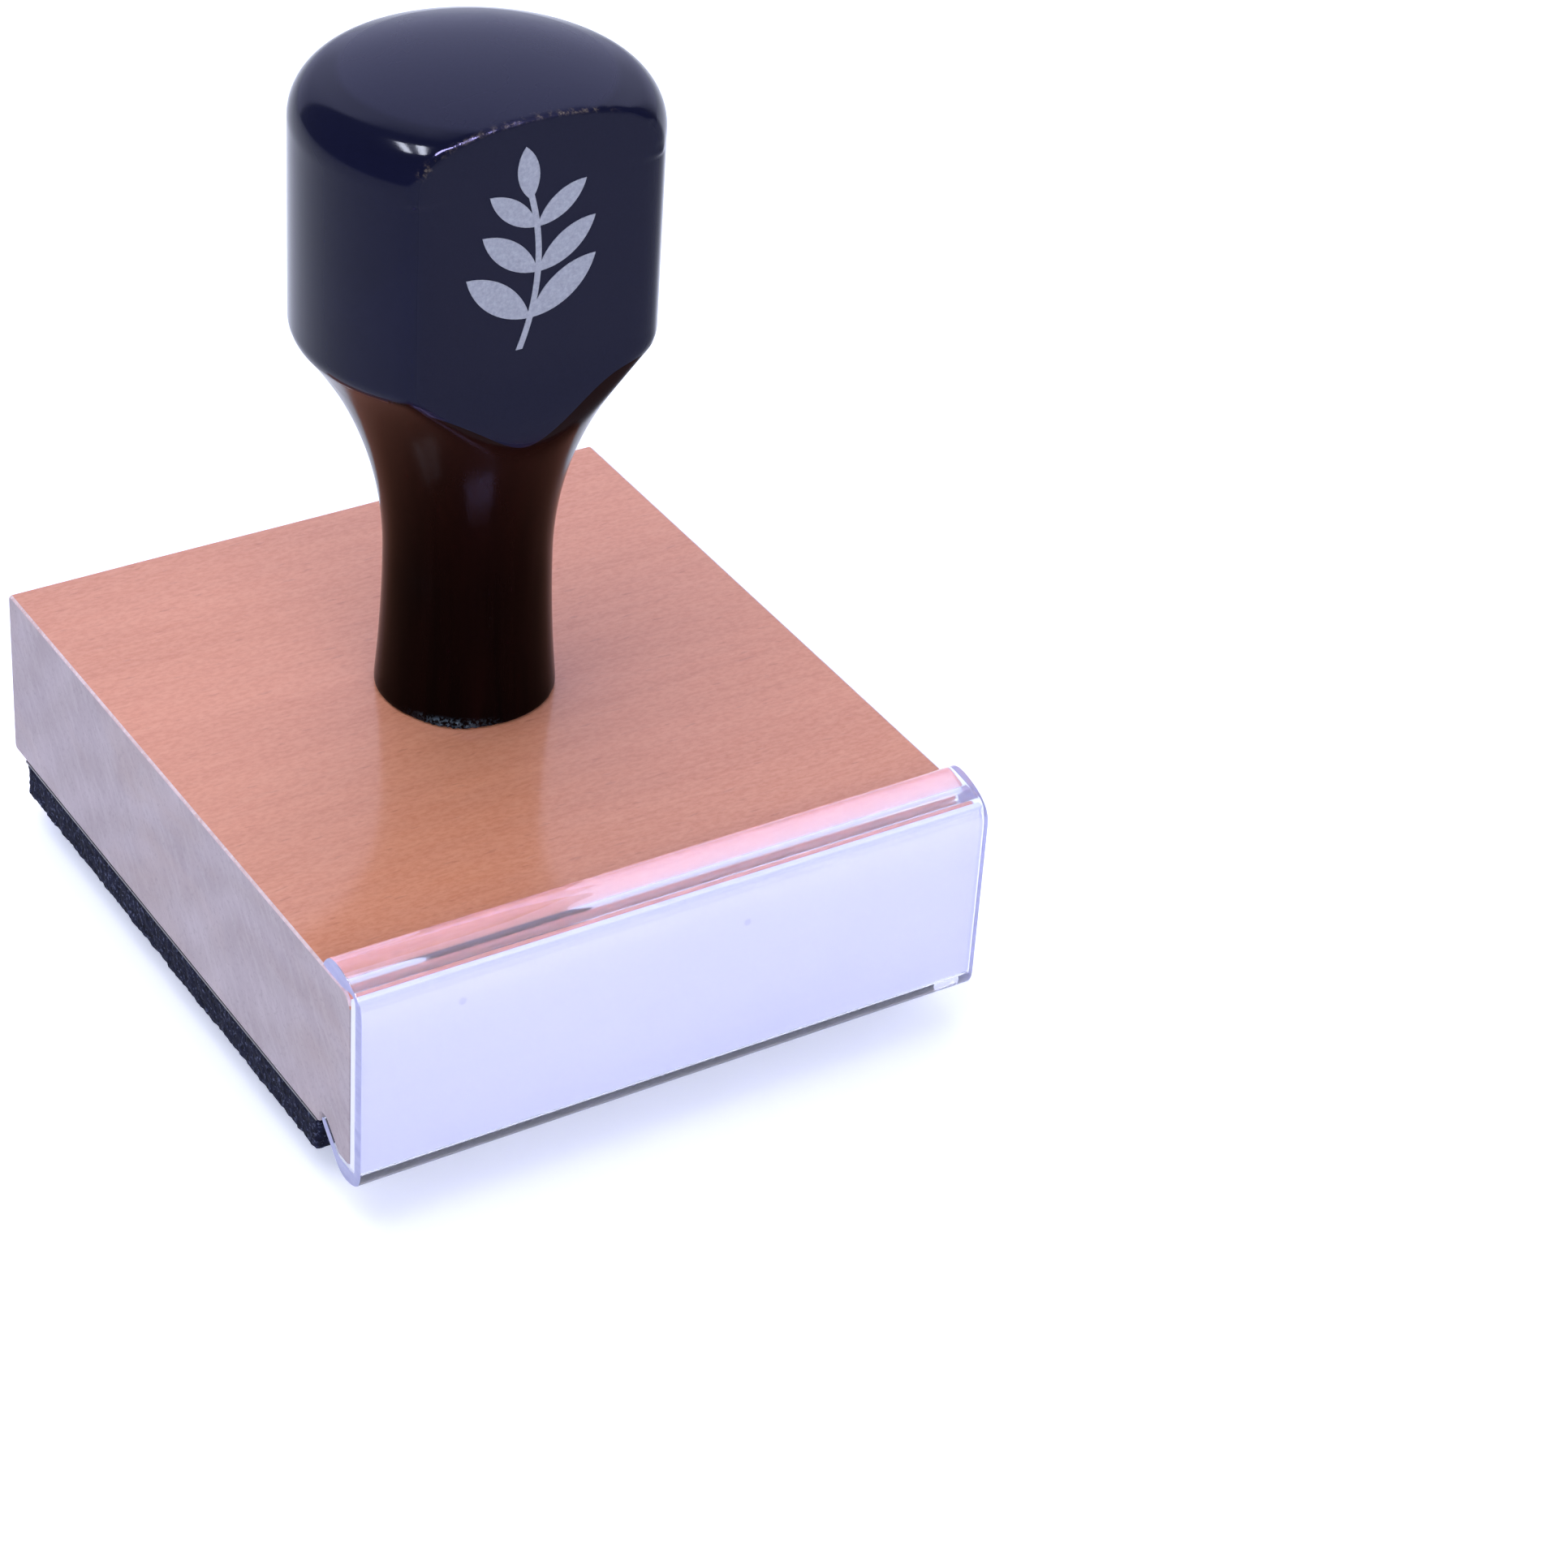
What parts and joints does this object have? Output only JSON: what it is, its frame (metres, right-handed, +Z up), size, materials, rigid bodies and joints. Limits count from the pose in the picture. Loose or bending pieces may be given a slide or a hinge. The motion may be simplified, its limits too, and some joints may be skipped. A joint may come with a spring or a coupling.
{
  "type": "rubber stamp",
  "caption": "Wood-block hand stamp with a turned knob handle, a slide-off clear cover over a white card, a foam cushion and a round rubber die.",
  "frame": {"origin": "on the table under the middle of the outline; the die's printing face is at z = 0", "axes": "+Z up along the handle, -Y towards the clear cover and the handle's flat facet, +X along the moulding"},
  "size_m": [0.0572, 0.0654, 0.0797],
  "materials": {
    "block_wood": "clear lacquered maple, raw on the cut ends",
    "film": "clear double-sided adhesive film",
    "foam": "open-cell black foam",
    "die_rubber": "matt engraved rubber",
    "clear_plastic": "clear extruded PVC",
    "card": "white card",
    "screw_steel": "zinc-plated steel",
    "stem_wood": "dark stained hardwood under gloss lacquer",
    "knob_black": "thick dipped black coat, glossy on the round, satin on the flat facet",
    "mark_print": "pale grey pad print"
  },
  "bodies": {
    "mount": {"mount_block": "block_wood", "mount_film": "film", "cushion": "foam", "die_film": "film", "rubber_die": "die_rubber"},
    "cover": {"index_cover": "clear_plastic"},
    "label": {"index_label": "card"},
    "screw": {"handle_screw": "screw_steel"},
    "grip": {"handle": "stem_wood", "knob_coat": "knob_black", "facet_mark": "mark_print"}
  },
  "joints": [
    {"name": "cover_slide", "type": "slide", "parent": "mount", "child": "cover", "axis": [1, 0, 0], "range_m": [-0.057, 0.057]},
    {"name": "label_slide", "type": "slide", "parent": "mount", "child": "label", "axis": [1, 0, 0], "range_m": [-0.057, 0.057]},
    {"name": "handle_lift", "type": "slide", "parent": "mount", "child": "screw", "axis": [0, 0, 1], "range_m": [0, 0.01]},
    {"name": "handle_turn", "type": "hinge", "parent": "screw", "child": "grip", "pos_m": [0, 0.00385, 0.0217], "axis": [0, 0, 1], "range_deg": [0, 1440]}
  ],
  "couplings": [
    {"joint": "handle_lift", "follows": "handle_turn", "m_per_rad": 0.00039789}
  ]
}
